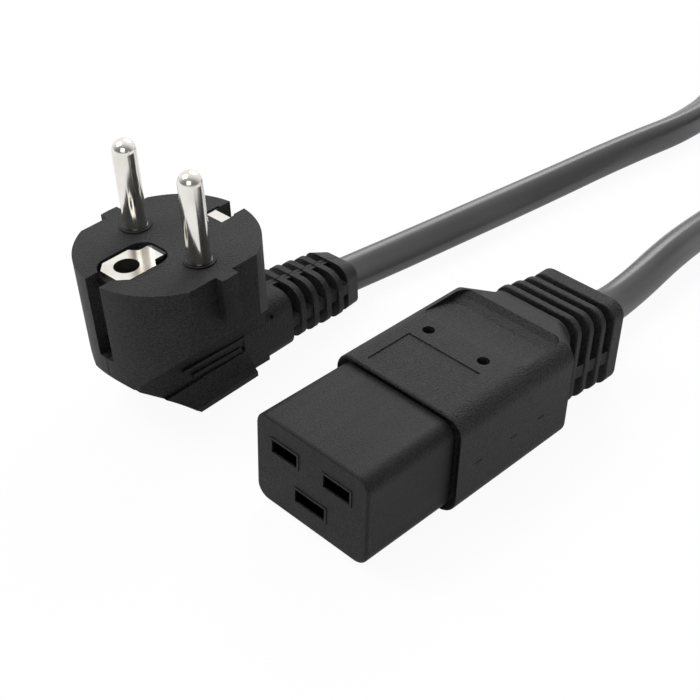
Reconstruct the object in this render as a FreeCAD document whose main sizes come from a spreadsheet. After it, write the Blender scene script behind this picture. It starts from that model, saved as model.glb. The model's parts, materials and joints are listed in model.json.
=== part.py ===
"""Power cord: a round two-pin plug with an earth socket, a flat-pin connector and the cable between them.

Row frame, millimetres: +Z up, z = 0 the surface it lies on, +X along the connector towards its cable.
The connector has a frame of its own at the middle of its front edge on that surface. The plug has one at
the middle of its round face: +X towards its cable, +Z along its pins. SIZES holds the driving dimensions.
"""
import FreeCAD, Part
import math
import os
import Sketcher

V = FreeCAD.Vector
NEAR = 1e-4

SIZES = {
    # Where the two ends stand
    "connector_x": -34.77, "connector_y": -26.69,
    "plug_x": -23.86, "plug_y": 23.93, "plug_z": 34.60,
    "plug_yaw": 0.63, "plug_pitch": -2.98, "plug_roll": -2.33,
    # Cable
    "cable_r": 4.05, "wire_r": 1.40, "core_r": 0.80, "core_spread": 2.10,
    # Connector nose, with its slots for flat pins
    "nose_wide": 27.96, "nose_tall": 20.12, "nose_corner": 3.0, "nose_long": 21.78,
    "axis_z": 11.264, "slot_tall": 2.82, "slot_wide": 6.36, "earth_slot_wide": 7.43,
    "slot_side": 6.50, "slot_rise": 4.065, "earth_slot_drop": 3.94, "slot_deep": 1.60,
    "frame_edge": 0.45, "frame_proud": 0.15, "nose_soft": 0.60,
    "chamber_extra": 1.60, "chamber_tall": 5.20, "chamber_end": 27.60,
    "carrier_wide": 24.40, "carrier_tall": 16.80, "carrier_end": 34.00,
    # Flat contacts
    "leaf_wide": 5.00, "leaf_thick": 0.60, "leaf_gap": 0.80, "leaf_mouth": 1.50, "leaf_bow": 1.90,
    "leaf_start": 2.60, "leaf_pinch": 7.00, "leaf_back": 25.00, "tail_wide": 2.60, "tail_thick": 1.00,
    "barrel_start": 34.00, "barrel_long": 6.00, "barrel_r": 1.80,
    # Connector grip
    "grip_wide": 30.86, "grip_tall": 22.53, "grip_corner": 4.0, "grip_end": 55.0,
    "grip_soft": 0.60, "collar_rim": 0.45, "collar_deep": 1.40,
    "shoulder_end": 60.2, "neck_wide": 20.2, "neck_tall": 21.1, "neck_z": 10.85, "neck_corner": 3.8,
    "thumb_crease": 41.6, "thumb_floor_x": 51.6, "thumb_floor_z": 20.9, "thumb_wall_x": 53.9,
    "thumb_wall_z": 21.5, "thumb_end": 55.4, "thumb_half": 12.6, "thumb_corner": 3.0,
    "pit_x": 38.85, "pit_left": 7.5, "pit_right": -6.1, "pit_r": 1.24, "pit_deep": 2.40,
    "panel_x": 24.0, "panel_long": 11.5, "panel_y": -8.2, "panel_wide": 17.7, "panel_deep": 0.22,
    # Connector strain relief
    "base_end": 61.1, "ring_pitch": 3.50, "ring_thick": 1.60, "ring_start": 62.70, "ring_soft": 0.35,
    "end_block": 73.2, "relief_end": 76.7, "relief_half": 10.5, "relief_up": 10.3, "relief_down": 11.2,
    "relief_narrows": 0.22, "relief_lowers": 0.11, "relief_lifts": 0.05, "relief_lean": 0.09,
    "sleeve_r": 4.90, "web_z": 8.7, "web_tall": 3.0, "web_back": 0.35,
    "socket_sheath_in": 10.0, "socket_lead": 11.1, "socket_lean": 1.0,
    # Plug face
    "face_r": 18.2, "plug_deep": 33.8, "face_draft": -0.70,
    "pin_r": 2.40, "pin_long": 19.0, "pin_side": 9.5, "pin_flange_r": 3.0, "flange_top": 4.0,
    "flange_bottom": 5.4, "pin_foot": 10.0, "crimp_r": 2.20, "crimp_foot": 14.0, "crimp_deep": 4.5,
    "pin_root_r": 2.60, "pin_root_top": 0.40, "boss_r": 3.20, "boss_proud": 0.30,
    "flat_y": 16.2, "flat_half": 8.3, "flat_deep": 14.5, "tab_half": 2.0, "tab_deep": 9.5,
    "notch_half": 2.1, "notch_floor": 14.3, "notch_deep": 17.5,
    "plaque_left": -15.0, "plaque_right": -2.4, "plaque_half": 5.9, "insert_top": 2.2,
    "insert_half_x": 13.3, "insert_half_y": 12.6, "insert_corner": 5.0, "insert_deep": 14.5,
    "recess_left": -15.2, "recess_right": -1.9, "recess_half": 4.7, "recess_corner": 3.6,
    "recess_deep": 1.50,
    "window_left": 11.7, "window_half": 2.60,
    # Earth strip and socket
    "strip_top": 0.30, "strip_thick": 0.80, "strip_half": 2.40, "strip_end": 14.30, "leg_deep": 15.0,
    "leg_half": 2.05, "socket_x": -10.0, "socket_r": 2.50, "socket_wall_r": 3.20, "socket_deep": 13.8,
    "socket_floor": 13.0, "plate_half": 4.15, "plate_left": -12.5, "plate_right": -6.3,
    "tab_x": 3.4, "tab_thick": 0.80, "earth_crimp_x": 5.40, "earth_crimp_r": 1.80, "earth_crimp_foot": 15.4,
    # Plug back: sloping undersides, bar, lip and ribs
    "hip_base": -28.5, "hip_slope": 0.925, "hip_root": 5.0, "ramp_x": -17.5, "ramp_z": -22.3,
    "ramp_foot": -4.7, "bar_top": -20.0, "bar_left": -16.4, "bar_right": 16.2,
    "bar_left_half": 6.9, "bar_right_half": 7.78,
    "lip_left": -4.8, "lip_right": 10.8, "lip_top": -28.0, "lip_half": 10.0, "lip_sweep_r": 6.1,
    "lip_sweep_y": 13.9, "rib_proud": 0.40, "rib_tall": 0.65, "rib_falls": 0.035,
    "side_pit_r": 0.50, "side_pit_deep": 1.5,
    "plug_neck_end": 23.5, "plug_neck_half": 7.8, "plug_neck_top": -21.2, "plug_neck_foot": -34.9,
    "plug_neck_corner": 3.5,
    # Plug strain relief
    "plug_ring_start": 26.5, "plug_ring_pitch": 3.70, "plug_ring_thick": 1.40, "plug_end_block": 41.3,
    "plug_relief_end": 45.5, "plug_ring_half": 7.25, "plug_narrows": 0.02, "plug_ring_top": -21.6,
    "plug_ring_corner": 4.0, "plug_top_falls": 0.18, "plug_foot_falls": 0.08,
    "plug_block_half": 6.6, "plug_block_top": -24.5, "plug_block_foot": -36.35, "plug_block_corner": 3.4,
    "plug_end_half": 5.4, "plug_end_top": -26.3, "plug_end_foot": -36.70, "plug_end_corner": 2.4,
    "plug_sleeve_half": 4.7, "plug_web_top": -28.0, "plug_web_foot": -30.4, "plug_web_back": 0.30,
    "top_web_half": 0.9, "plug_exit_z": -32.20, "exit_slope": 0.14,
    # Coil of the length that is put away, and its tie
    "coil_x": 235.30, "coil_y": -9.70, "coil_mid_r": 42.0, "coil_half": 12.15, "coil_tall": 16.2,
    "coil_corner": 3.6, "tie_wide": 7.0, "tie_thick": 0.70, "tie_turn": 10.0,
}

doc = FreeCAD.newDocument("PowerCord")
sheet = doc.addObject("Spreadsheet::Sheet", "Sizes")
for row, (name, value) in enumerate(SIZES.items(), start=1):
    sheet.set(f"A{row}", name)
    sheet.set(f"B{row}", str(value))
    sheet.setAlias(f"B{row}", name)
doc.recompute()


def size(name):
    """A driving dimension, read back from the sheet."""
    return float(sheet.get(name))


def bound(text):
    """An expression's text with each size's name joined to the sheet."""
    words = text.replace("(", " ( ").replace(")", " ) ").split()
    return " ".join(f"Sizes.{word}" if word in SIZES else word for word in words)


# Frames of the two ends

CONNECTOR = "placement(vector(Sizes.connector_x; Sizes.connector_y; 0); rotation(0; 0; 0))"
PLUG = (
    "placement(vector(Sizes.plug_x; Sizes.plug_y; Sizes.plug_z); "
    "rotation(Sizes.plug_yaw; Sizes.plug_pitch; Sizes.plug_roll))"
)
connector_place = FreeCAD.Placement(
    V(size("connector_x"), size("connector_y"), 0), FreeCAD.Rotation(0, 0, 0)
)
plug_place = FreeCAD.Placement(
    V(size("plug_x"), size("plug_y"), size("plug_z")),
    FreeCAD.Rotation(size("plug_yaw"), size("plug_pitch"), size("plug_roll")),
)


# Sketches: each corner and radius is tied to the sheet

def make_body(name, frame):
    body = doc.addObject("PartDesign::Body", name)
    body.Label = name
    body.setExpression("Placement", frame)
    return body


def sketch_on(body, role, shift="0"):
    """A sketch on one of the body's own planes, moved along the plane's normal."""
    sketch = body.newObject("Sketcher::SketchObject", f"{body.Name}_sketch")
    plane = [feature for feature in body.Origin.OriginFeatures if feature.Role == role][0]
    sketch.AttachmentSupport = [(plane, "")]
    sketch.MapMode = "FlatFace"
    sketch.setExpression("AttachmentOffset.Base.z", bound(shift))
    return sketch


def worked_out(text):
    """The value that an expression has now, to draw a sketch near its place."""
    words = text.replace("(", " ( ").replace(")", " ) ").split()
    total = " ".join(f"({size(word)})" if word in SIZES else word for word in words)
    return float(FreeCAD.Units.Quantity(total).Value)


def tie(sketch, kind, where, text):
    """One sketch dimension bound to an expression."""
    number = sketch.addConstraint(Sketcher.Constraint(kind, *where, worked_out(text)))
    sketch.setExpression(f"Constraints[{number}]", bound(text))


def outline(sketch, corners):
    """A closed outline of straight edges. Each corner is two expressions."""
    first, count = sketch.GeometryCount, len(corners)
    places = [V(worked_out(x), worked_out(y), 0) for x, y in corners]
    for k in range(count):
        sketch.addGeometry(Part.LineSegment(places[k], places[(k + 1) % count]))
    for k in range(count):
        follower = first + (k + 1) % count
        sketch.addConstraint(Sketcher.Constraint("Coincident", first + k, 2, follower, 1))
    for k, (x, y) in enumerate(corners):
        tie(sketch, "DistanceX", (-1, 1, first + k, 1), x)
        tie(sketch, "DistanceY", (-1, 1, first + k, 1), y)


def rectangle(sketch, left, right, low, high):
    outline(sketch, [(left, low), (right, low), (right, high), (left, high)])


def circle(sketch, radius, x="0", y="0"):
    number = sketch.GeometryCount
    centre = V(worked_out(x), worked_out(y), 0)
    sketch.addGeometry(Part.Circle(centre, V(0, 0, 1), worked_out(radius)))
    tie(sketch, "Radius", (number,), radius)
    tie(sketch, "DistanceX", (-1, 1, number, 3), x)
    tie(sketch, "DistanceY", (-1, 1, number, 3), y)


def rounded(sketch, half_wide, low, high, corner, middle="0"):
    """A rectangle with four equal round corners, symmetrical about its middle."""
    first = sketch.GeometryCount
    right, left = f"{middle} + {half_wide}", f"{middle} - {half_wide}"
    x1, x0 = worked_out(right), worked_out(left)
    y0, y1, r = worked_out(low), worked_out(high), worked_out(corner)
    ends = [
        ((x0 + r, y0), (x1 - r, y0)), ((x1, y0 + r), (x1, y1 - r)),
        ((x1 - r, y1), (x0 + r, y1)), ((x0, y1 - r), (x0, y0 + r)),
    ]
    centres = [(x1 - r, y0 + r), (x1 - r, y1 - r), (x0 + r, y1 - r), (x0 + r, y0 + r)]
    for a, b in ends:
        sketch.addGeometry(Part.LineSegment(V(*a, 0), V(*b, 0)))
    for k, centre in enumerate(centres):
        start = math.radians(-90 + 90 * k)
        whole = Part.Circle(V(*centre, 0), V(0, 0, 1), r)
        sketch.addGeometry(Part.ArcOfCircle(whole, start, start + math.pi / 2))
    for k in range(4):
        side, arc, after = first + k, first + 4 + k, first + (k + 1) % 4
        sketch.addConstraint(Sketcher.Constraint("Tangent", side, 2, arc, 1))
        sketch.addConstraint(Sketcher.Constraint("Tangent", arc, 2, after, 1))
    for k in (0, 2):
        sketch.addConstraint(Sketcher.Constraint("Horizontal", first + k))
    for k in (1, 3):
        sketch.addConstraint(Sketcher.Constraint("Vertical", first + k))
    for k in range(1, 4):
        sketch.addConstraint(Sketcher.Constraint("Equal", first + 4, first + 4 + k))
    tie(sketch, "Radius", (first + 4,), corner)
    tie(sketch, "DistanceX", (-1, 1, first + 1, 1), right)
    tie(sketch, "DistanceX", (-1, 1, first + 3, 1), left)
    tie(sketch, "DistanceY", (-1, 1, first, 1), low)
    tie(sketch, "DistanceY", (-1, 1, first + 2, 1), high)


# Features

def pad(body, sketch, length, reverse=False, both=False):
    feature = body.newObject("PartDesign::Pad", f"{body.Name}_pad")
    feature.Profile = sketch
    feature.setExpression("Length", bound(length))
    feature.Reversed = reverse
    if both:
        feature.SideType = "Symmetric"
    return feature


def pocket(body, sketch, length, reverse=False, both=False):
    """A pocket. It cuts against the sketch's normal unless it is reversed."""
    feature = body.newObject("PartDesign::Pocket", f"{body.Name}_pocket")
    feature.Profile = sketch
    feature.setExpression("Length", bound(length))
    feature.Reversed = reverse
    if both:
        feature.SideType = "Symmetric"
    return feature


def softened(body, feature, radius, chosen):
    """Rounds those edges of a feature that a test on the edge chooses."""
    doc.recompute()
    edges = enumerate(feature.Shape.Edges, start=1)
    names = [f"Edge{number}" for number, edge in edges if chosen(edge)]
    made = body.newObject("PartDesign::Fillet", f"{body.Name}_soft")
    made.Base = (feature, names)
    made.setExpression("Radius", bound(radius))
    return made


def flat_at(*places):
    """A test: the whole edge lies in one of the planes of constant x at these places."""
    wanted = [worked_out(place) for place in places]

    def chosen(edge):
        box = edge.BoundBox
        return any(max(abs(box.XMin - x), abs(box.XMax - x)) < NEAR for x in wanted)

    return chosen


def joined(name, pieces):
    feature = doc.addObject("Part::MultiFuse", name)
    feature.Shapes = pieces
    feature.Label = name
    return feature


def cut(name, base, tool):
    feature = doc.addObject("Part::Cut", name)
    feature.Base = base
    feature.Tool = tool
    feature.Label = name
    return feature


radii = []


def tube(name, points, radius):
    """A round tube along straight runs joined by tangent arcs, as large as their runs allow."""
    edges, last = [], points[0]
    length, tightest = 0.0, 1e9
    for before, corner, after in zip(points, points[1:], points[2:]):
        come, leave = corner - before, after - corner
        turn = come.getAngle(leave)
        back = 0.45 * min(come.Length, leave.Length)
        tightest = min(tightest, back / math.tan(turn / 2))
        start = corner - V(come).normalize() * back
        end = corner + V(leave).normalize() * back
        bend = back / math.tan(turn / 2)
        towards = (V(leave).normalize() - V(come).normalize()).normalize()
        middle = corner + towards * (bend / math.cos(turn / 2) - bend)
        edges += [Part.LineSegment(last, start).toShape(), Part.Arc(start, middle, end).toShape()]
        length += (start - last).Length + bend * turn
        last = end
    edges.append(Part.LineSegment(last, points[-1]).toShape())
    length += (points[-1] - last).Length
    profile = Part.Wire(Part.Circle(points[0], points[1] - points[0], radius).toShape())
    feature = doc.addObject("Part::Feature", name)
    feature.Shape = Part.Wire(edges).makePipeShell([profile], True, True)
    feature.Label = name
    plain = math.pi * radius * radius * length
    radii.append((name, length, tightest, feature.Shape.Volume / plain))
    return feature


# Connector: nose with slots and chambers

nose_solid = make_body("nose_solid", CONNECTOR)
nose_foot, nose_head = "axis_z - nose_tall / 2", "axis_z + nose_tall / 2"
front = sketch_on(nose_solid, "YZ_Plane")
rounded(front, "nose_wide / 2", nose_foot, nose_head, "nose_corner")
front_pad = pad(nose_solid, front, "nose_long")
softened(nose_solid, front_pad, "nose_soft", flat_at("0"))
carrier = sketch_on(nose_solid, "YZ_Plane", "nose_long - 1")
rounded(
    carrier, "carrier_wide / 2", "axis_z - carrier_tall / 2", "axis_z + carrier_tall / 2", "nose_corner"
)
pad(nose_solid, carrier, "carrier_end - nose_long + 1")

SLOTS = {
    "line": ("slot_side", "axis_z + slot_rise", "slot_wide"),
    "neutral": ("0 - slot_side", "axis_z + slot_rise", "slot_wide"),
    "earth": ("0", "axis_z - earth_slot_drop", "earth_slot_wide"),
}


def slot_outline(sketch, side, rise, wide, extra, tall):
    """A slot's outline, grown by extra at each side."""
    half = f"{wide} / 2 + {extra}"
    rectangle(
        sketch, f"{side} - ( {half} )", f"{side} + {half}",
        f"{rise} - ( {tall} ) / 2", f"{rise} + ( {tall} ) / 2",
    )


for side, rise, wide in SLOTS.values():
    frame = sketch_on(nose_solid, "YZ_Plane")
    slot_outline(frame, side, rise, wide, "frame_edge", "slot_tall + 2 * frame_edge")
    pad(nose_solid, frame, "frame_proud", reverse=True)

nose_hollows = []
for name, (side, rise, wide) in SLOTS.items():
    hollow = make_body(f"hollow_{name}", CONNECTOR)
    mouth = sketch_on(hollow, "YZ_Plane", "0 - frame_proud - 1")
    slot_outline(mouth, side, rise, wide, "0", "slot_tall")
    pad(hollow, mouth, "slot_deep + frame_proud + 2")
    chamber = sketch_on(hollow, "YZ_Plane", "slot_deep")
    slot_outline(chamber, side, rise, wide, "chamber_extra / 2", "chamber_tall")
    pad(hollow, chamber, "chamber_end - slot_deep")
    nose_hollows.append(hollow)


# Contacts: two bowed leaves, a tail and a crimp barrel

contacts = {}
for name, (side, rise, wide) in SLOTS.items():
    contact = make_body(f"contact_{name}", CONNECTOR)
    leaves = sketch_on(contact, "XZ_Plane", f"0 - ( {side} )")
    for sign in ("+", "-"):
        back = [("leaf_back", "leaf_bow"), ("leaf_pinch", "leaf_gap"), ("leaf_start", "leaf_mouth")]
        inner = [(x, f"{rise} {sign} {y}") for x, y in back]
        outer = [(x, f"{rise} {sign} ( {y} + leaf_thick )") for x, y in reversed(back)]
        outline(leaves, inner + outer)
    pad(contact, leaves, "leaf_wide", both=True)
    web = sketch_on(contact, "XZ_Plane", f"0 - ( {side} )")
    web_foot, web_head = f"{rise} - leaf_bow - leaf_thick", f"{rise} + leaf_bow + leaf_thick"
    rectangle(web, "leaf_back - leaf_thick", "leaf_back + leaf_thick", web_foot, web_head)
    pad(contact, web, "leaf_wide", both=True)
    tail = sketch_on(contact, "YZ_Plane", "leaf_back")
    rectangle(
        tail, f"{side} - tail_wide / 2", f"{side} + tail_wide / 2",
        f"{rise} - tail_thick / 2", f"{rise} + tail_thick / 2",
    )
    pad(contact, tail, "barrel_start - leaf_back")
    barrel = sketch_on(contact, "YZ_Plane", "barrel_start")
    circle(barrel, "barrel_r", side, rise)
    pad(contact, barrel, "barrel_long")
    contacts[name] = contact


# Wires inside the connector, from the barrels to the end of the cable's sheath

def in_connector(x, y, z):
    return connector_place.multVec(V(x, y, z))


def in_plug(x, y, z):
    return plug_place.multVec(V(x, y, z))


sheath_start = size("relief_end") - size("socket_sheath_in")
WIRE_ANGLES = {"line": 45.0, "neutral": 135.0, "earth": 270.0}


def core_place(name):
    """Where a core lies in the cable's section: to the side and up from its middle."""
    angle = math.radians(WIRE_ANGLES[name])
    return size("core_spread") * math.cos(angle), size("core_spread") * math.sin(angle)


socket_cores, socket_wires = {}, {}
for name, (side, rise, wide) in SLOTS.items():
    y0, z0 = worked_out(side), worked_out(rise)
    across, up = core_place(name)
    y1, z1 = across, size("axis_z") + up
    route = [
        in_connector(size("barrel_start") + 1.5, y0, z0), in_connector(44.0, y0, z0),
        in_connector(54.0, y1, z1), in_connector(sheath_start, y1, z1),
    ]
    socket_cores[name] = tube(f"socket_core_{name}", route, size("core_r"))
    sheath = tube(f"socket_sheath_{name}", route, size("wire_r"))
    ends = joined(f"socket_ends_{name}", [socket_cores[name], contacts[name]])
    socket_wires[name] = cut(f"socket_wire_{name}", sheath, ends)
    contacts[name] = cut(f"contact_{name}_crimped", contacts[name], socket_cores[name])


# Cable from each end to the coil. The route's points are in the row frame.

COIL_TOP = 12.15


def ring_touch(heading, side, z):
    """Where a straight run of this heading meets the coil's outer turn, and the run's direction."""
    angle = math.radians(heading)
    direction = V(math.cos(angle), math.sin(angle), 0)
    outward = V(-math.sin(angle), math.cos(angle), 0) * side
    outer_turn = size("coil_mid_r") + 2 * size("cable_r")
    return V(size("coil_x"), size("coil_y"), z) + outward * outer_turn, direction


ENTRY_BACK = 30.6
z_floor = size("cable_r")
plug_touch, plug_heading = ring_touch(24.0, 1, z_floor)
plug_end = plug_touch - plug_heading * ENTRY_BACK
socket_touch, socket_heading = ring_touch(-35.0, -1, z_floor)
socket_end = socket_touch - socket_heading * ENTRY_BACK

sheath_x = size("plug_relief_end") - 10.7
corner_x = size("plug_relief_end") + 9.3
sheath_z = size("plug_exit_z") + size("exit_slope") * 10.7
corner_z = size("plug_exit_z") - size("exit_slope") * 9.3
first_corner = in_plug(corner_x, 0, corner_z)
first_corner.z = z_floor
PLUG_ROUTE = [(53.30, 21.10), (87.30, 18.30), (122.65, 15.80), (147.65, 12.30), (170.15, 14.90)]
plug_route = [in_plug(sheath_x, 0, sheath_z), first_corner]
plug_route += [V(x, y, z_floor) for x, y in PLUG_ROUTE] + [plug_end]

SOCKET_ROUTE = [(72.90, -24.20), (92.30, -21.20), (112.65, -21.10), (137.65, -19.90), (161.65, -24.80)]
socket_corner_x = size("relief_end") + size("socket_lead")
socket_route = [
    in_connector(sheath_start, 0, size("axis_z")),
    in_connector(socket_corner_x, size("socket_lean"), size("axis_z")),
]
socket_route += [V(x, y, z_floor) for x, y in SOCKET_ROUTE] + [socket_end]

cable_plug = tube("cable_plug", plug_route, size("cable_r"))
cable_socket = tube("cable_socket", socket_route, size("cable_r"))


# Coil: the outer shape of its turns, with the first bit of each cable

COIL = "placement(vector(Sizes.coil_x; Sizes.coil_y; 0); rotation(0; 0; 0))"
TIE = "placement(vector(Sizes.coil_x; Sizes.coil_y; 0); rotation(Sizes.tie_turn; 0; 0))"

turns = make_body("turns", COIL)
section = sketch_on(turns, "XZ_Plane")
rounded(section, "coil_half", "0", "coil_tall", "coil_corner", "coil_mid_r")
ring = turns.newObject("PartDesign::Revolution", "turns_ring")
ring.Profile = section
ring.ReferenceAxis = (section, ["V_Axis"])
ring.Angle = 360

entry_plug = tube("entry_plug", [plug_end, plug_touch], size("cable_r"))
lift = V(0, 0, COIL_TOP - z_floor)
entry_socket = tube(
    "entry_socket",
    [
        socket_end, socket_end + socket_heading * 7, socket_end + socket_heading * 24 + lift,
        socket_touch + socket_heading * 3 + lift,
    ],
    size("cable_r"),
)

groove = make_body("tie_groove", TIE)
around = sketch_on(groove, "XZ_Plane")
rectangle(around, "coil_mid_r - coil_half - 3", "coil_mid_r + coil_half + 3", "0 - 3", "coil_tall + 3")
pad(groove, around, "tie_wide", both=True)
coil_tie = make_body("coil_tie", TIE)
band = sketch_on(coil_tie, "XZ_Plane")
rounded(band, "coil_half", "0", "coil_tall", "coil_corner", "coil_mid_r")
pad(coil_tie, band, "tie_wide", both=True)
for body in (groove, coil_tie):
    within = sketch_on(body, "XZ_Plane")
    rounded(
        within, "coil_half - tie_thick", "tie_thick", "coil_tall - tie_thick",
        "coil_corner - tie_thick", "coil_mid_r",
    )
    pocket(body, within, "tie_wide + 2", both=True)
wound = joined("wound_cable", [turns, entry_plug, entry_socket])
cable_coil = cut("cable_coil", wound, groove)


# Connector overmould: grip, shoulder and strain relief

grip = make_body("grip_form", CONNECTOR)
handle = sketch_on(grip, "YZ_Plane", "nose_long")
rounded(handle, "grip_wide / 2", "0", "grip_tall", "grip_corner")
handle_pad = pad(grip, handle, "grip_end - nose_long")
softened(grip, handle_pad, "grip_soft", flat_at("nose_long"))
shoulder = grip.newObject("PartDesign::AdditiveLoft", "grip_shoulder")
wide_end = sketch_on(grip, "YZ_Plane", "grip_end")
rounded(wide_end, "grip_wide / 2", "0", "grip_tall", "grip_corner")
small_end = sketch_on(grip, "YZ_Plane", "shoulder_end")
rounded(small_end, "neck_wide / 2", "neck_z - neck_tall / 2", "neck_z + neck_tall / 2", "neck_corner")
shoulder.Profile = wide_end
shoulder.Sections = [small_end]
shoulder.Ruled = True
base = sketch_on(grip, "YZ_Plane", "shoulder_end")
rounded(base, "neck_wide / 2", "neck_z - neck_tall / 2", "neck_z + neck_tall / 2", "neck_corner")
pad(grip, base, "base_end - shoulder_end")
sleeve = sketch_on(grip, "YZ_Plane", "shoulder_end")
rounded(sleeve, "sleeve_r", "axis_z - sleeve_r", "axis_z + sleeve_r", "sleeve_r / 2")
pad(grip, sleeve, "relief_end - shoulder_end - 1")
RINGS = 3


def relief_block(start, thick, corner):
    """One ring of the strain relief. The nearer to the cable, the smaller and further aside it is."""
    ring_sketch = sketch_on(grip, "YZ_Plane", start)
    gone = f"( {start} - base_end )"
    rounded(
        ring_sketch, f"relief_half - relief_narrows * {gone}",
        f"axis_z - relief_down + relief_lifts * {gone}", f"axis_z + relief_up - relief_lowers * {gone}",
        corner, f"relief_lean * {gone}",
    )
    return pad(grip, ring_sketch, thick)


ring_faces = []
for k in range(RINGS):
    ring_front = f"ring_start + {k} * ring_pitch"
    relief_block(ring_front, "ring_thick", "neck_corner - 0.2")
    ring_faces += [ring_front, f"{ring_front} + ring_thick"]
last_block = relief_block("end_block", "relief_end - end_block", "neck_corner - 0.6")
ring_edge = flat_at("end_block", "relief_end", *ring_faces)
sleeve_reach = size("sleeve_r") + NEAR


def outer_ring_edge(edge):
    """A ring's outer edge, and not where the ring meets the sleeve."""
    box = edge.BoundBox
    high = max(abs(box.ZMax - size("axis_z")), abs(box.ZMin - size("axis_z")))
    return ring_edge(edge) and max(high, abs(box.YMin), abs(box.YMax)) > sleeve_reach


softened(grip, last_block, "ring_soft", outer_ring_edge)
for sign in ("+", "-"):
    web = sketch_on(grip, "XY_Plane", "web_z - web_tall / 2")
    near_x, far_x = "shoulder_end", "relief_end - 1"
    inside = f"0 {sign} ( sleeve_r - 1 )"
    sides = []
    for x in (near_x, far_x):
        gone = f"( {x} - base_end )"
        reach = f"( relief_half - relief_narrows * {gone} - web_back )"
        sides.append((x, f"relief_lean * {gone} {sign} {reach}"))
    outline(web, [(near_x, inside), (far_x, inside), sides[1], sides[0]])
    pad(grip, web, "web_tall")

pits = sketch_on(grip, "XY_Plane", "grip_tall")
circle(pits, "pit_r", "pit_x", "pit_left")
circle(pits, "pit_r", "pit_x", "pit_right")
pocket(grip, pits, "pit_deep")
panel = sketch_on(grip, "XY_Plane", "grip_tall")
rectangle(panel, "panel_x", "panel_x + panel_long", "panel_y", "panel_y + panel_wide")
pocket(grip, panel, "panel_deep")

# Hollow step at the collar, and the scoop for a thumb
collar = make_body("collar_step", CONNECTOR)
step = collar.newObject("PartDesign::AdditiveLoft", "collar_loft")
step_mouth = sketch_on(collar, "YZ_Plane", "nose_long")
rounded(
    step_mouth, "grip_wide / 2 - collar_rim", "collar_rim", "grip_tall - collar_rim",
    "grip_corner - collar_rim",
)
step_floor = sketch_on(collar, "YZ_Plane", "nose_long + collar_deep")
rounded(step_floor, "nose_wide / 2", nose_foot, nose_head, "nose_corner")
step.Profile = step_mouth
step.Sections = [step_floor]
step.Ruled = True

scoop_side = make_body("scoop_side", CONNECTOR)
thumb = sketch_on(scoop_side, "XZ_Plane")
outline(thumb, [
    ("thumb_crease", "grip_tall"), ("thumb_floor_x", "thumb_floor_z"), ("thumb_wall_x", "thumb_wall_z"),
    ("thumb_end", "grip_tall"), ("thumb_end", "grip_tall + 2"), ("thumb_crease", "grip_tall + 2"),
])
pad(scoop_side, thumb, "2 * thumb_half + 2", both=True)
scoop_plan = make_body("scoop_plan", CONNECTOR)
plan = sketch_on(scoop_plan, "XY_Plane", "thumb_floor_z - 1")
rounded(
    plan, "( thumb_end - thumb_crease ) / 2 + 2", "0 - thumb_half", "thumb_half", "thumb_corner",
    "( thumb_end + thumb_crease ) / 2 - 2",
)
pad(scoop_plan, plan, "grip_tall - thumb_floor_z + 4")
scoop = doc.addObject("Part::MultiCommon", "thumb_scoop")
scoop.Shapes = [scoop_side, scoop_plan]

inner = [nose_solid, cable_socket, collar, scoop]
inner += [contacts[name] for name in SLOTS] + [socket_wires[name] for name in SLOTS]
inner += [socket_cores[name] for name in SLOTS]
connector_body = cut("connector_body", grip, joined("connector_inner", inner))
hollows = joined("nose_spaces", nose_hollows + [contacts[name] for name in SLOTS])
connector_nose = cut("connector_nose", nose_solid, hollows)


# Plug pins: shaft, flange and crimped foot, turned about their own axis

def pin_frame(sign):
    side = f"0 {sign} Sizes.pin_side"
    return f"{PLUG} * placement(vector(0; {side}; 0); rotation(0; 0; 0))"


pins = {}
for name, sign in (("line", "+"), ("neutral", "-")):
    pin = make_body(f"pin_{name}", pin_frame(sign))
    half = sketch_on(pin, "XZ_Plane")
    outline(half, [
        ("0", "0 - pin_foot"), ("crimp_r", "0 - pin_foot"), ("crimp_r", "0 - flange_bottom"),
        ("pin_flange_r", "0 - flange_bottom"), ("pin_flange_r", "0 - flange_top"),
        ("pin_root_r", "0 - flange_top"), ("pin_root_r", "pin_root_top"), ("pin_r", "pin_root_top"),
        ("pin_r", "pin_long - pin_r"), ("0", "pin_long - pin_r"),
    ])
    shaft = pin.newObject("PartDesign::Revolution", f"{pin.Name}_shaft")
    shaft.Profile = half
    shaft.ReferenceAxis = (half, ["V_Axis"])
    shaft.Angle = 360
    foot = sketch_on(pin, "XY_Plane", "0 - pin_foot")
    circle(foot, "crimp_r")
    pad(pin, foot, "crimp_foot - pin_foot", reverse=True)
    tip = pin.newObject("PartDesign::AdditiveSphere", f"{pin.Name}_tip")
    tip.setExpression("Radius", "Sizes.pin_r")
    tip.setExpression("Placement.Base.z", "Sizes.pin_long - Sizes.pin_r")
    pins[name] = pin


# Earth strip: plate round the socket, the socket, two legs and a crimped tab

strip = make_body("strip_form", PLUG)
plate = sketch_on(strip, "XY_Plane", "0 - strip_top - strip_thick")
outline(plate, [
    ("0 - strip_end", "0 - strip_half"), ("plate_left", "0 - plate_half"),
    ("plate_right", "0 - plate_half"), ("plate_right + 1.2", "0 - strip_half"),
    ("strip_end", "0 - strip_half"), ("strip_end", "strip_half"), ("plate_right + 1.2", "strip_half"),
    ("plate_right", "plate_half"), ("plate_left", "plate_half"), ("0 - strip_end", "strip_half"),
])
pad(strip, plate, "strip_thick")
for sign in ("+", "-"):
    leg = sketch_on(strip, "XY_Plane", "0 - leg_deep")
    ends = ["0 - strip_end", "strip_thick - strip_end"]
    if sign == "+":
        ends = ["strip_end - strip_thick", "strip_end"]
    rectangle(leg, ends[0], ends[1], "0 - leg_half", "leg_half")
    pad(strip, leg, "leg_deep - strip_top - strip_thick / 2")
tab = sketch_on(strip, "XY_Plane", "0 - earth_crimp_foot")
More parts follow.
